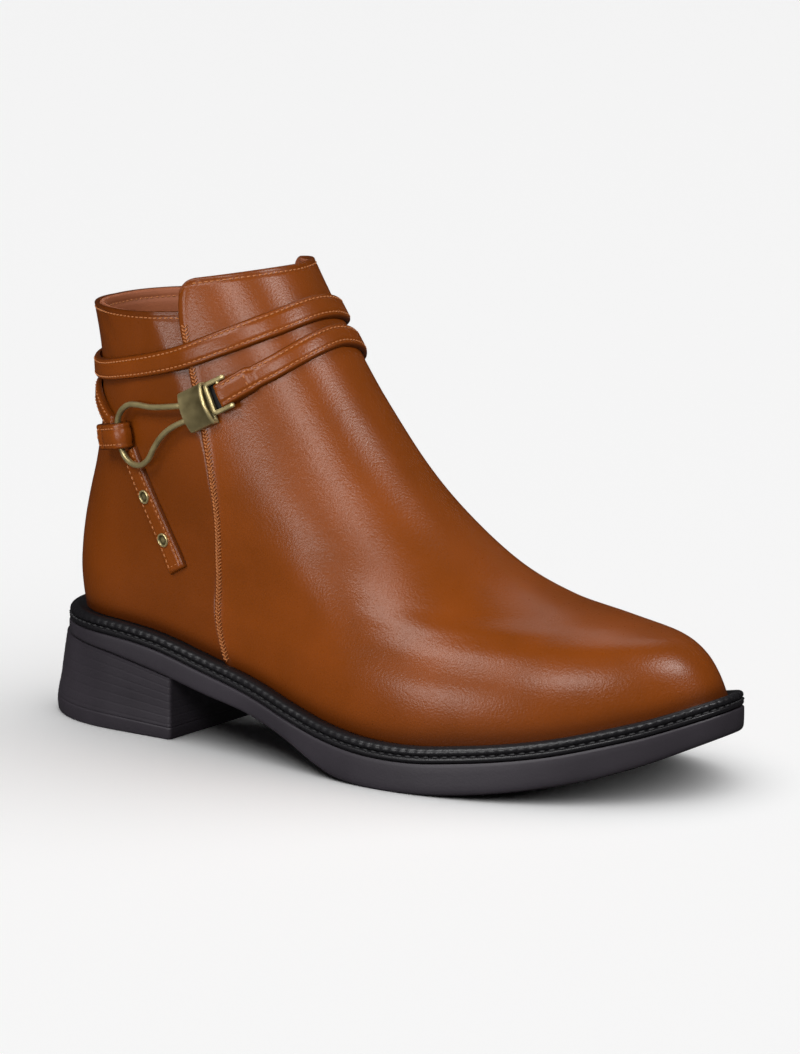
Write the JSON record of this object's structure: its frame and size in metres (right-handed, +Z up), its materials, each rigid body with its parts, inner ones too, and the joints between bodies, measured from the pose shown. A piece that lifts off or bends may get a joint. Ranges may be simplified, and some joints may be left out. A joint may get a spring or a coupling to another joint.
{
  "type": "buckle ankle boot",
  "caption": "Ankle boot for the right foot with a low block heel, stitched welt, wrapped buckled straps outside and a zip inside.",
  "frame": {"origin": "on the floor, under the middle of the boot's box", "axes": "+X from heel to toe, +Y to the boot's inner side, +Z up"},
  "size_m": [0.2656, 0.1026, 0.1659],
  "materials": {
    "leather": "smooth cognac leather, soft gloss",
    "lining": "matt tan lining",
    "welt_rubber": "black, half gloss",
    "sole_rubber": "matt charcoal",
    "brass": "antique brass, brushed at the edges",
    "zip_cloth": "brown woven tape",
    "zip_nylon": "dark brown coil",
    "zip_metal": "brown enamel"
  },
  "bodies": {
    "boot": {"upper": "leather", "insole": "lining", "welt": "welt_rubber", "outsole": "sole_rubber", "heel": "sole_rubber", "strap_upper": "leather", "strap_lower_front": "leather", "strap_lower_back": "leather", "strap_knot": "leather", "strap_tail": "leather", "rivet_1": "brass", "rivet_2": "brass", "buckle_block": "brass", "buckle_wire": "brass", "zip_tape": "zip_cloth", "zip_chain": "zip_nylon", "zip_slider": "zip_metal"},
    "zip_pull": {"zip_pull": "zip_metal"}
  },
  "joints": [
    {"name": "zip_pull_swing", "type": "hinge", "parent": "boot", "child": "zip_pull", "pos_m": [-0.05306, 0.0297, 0.14671], "axis": [0.9847, -0.1743, 0], "range_deg": [0, 150]}
  ]
}
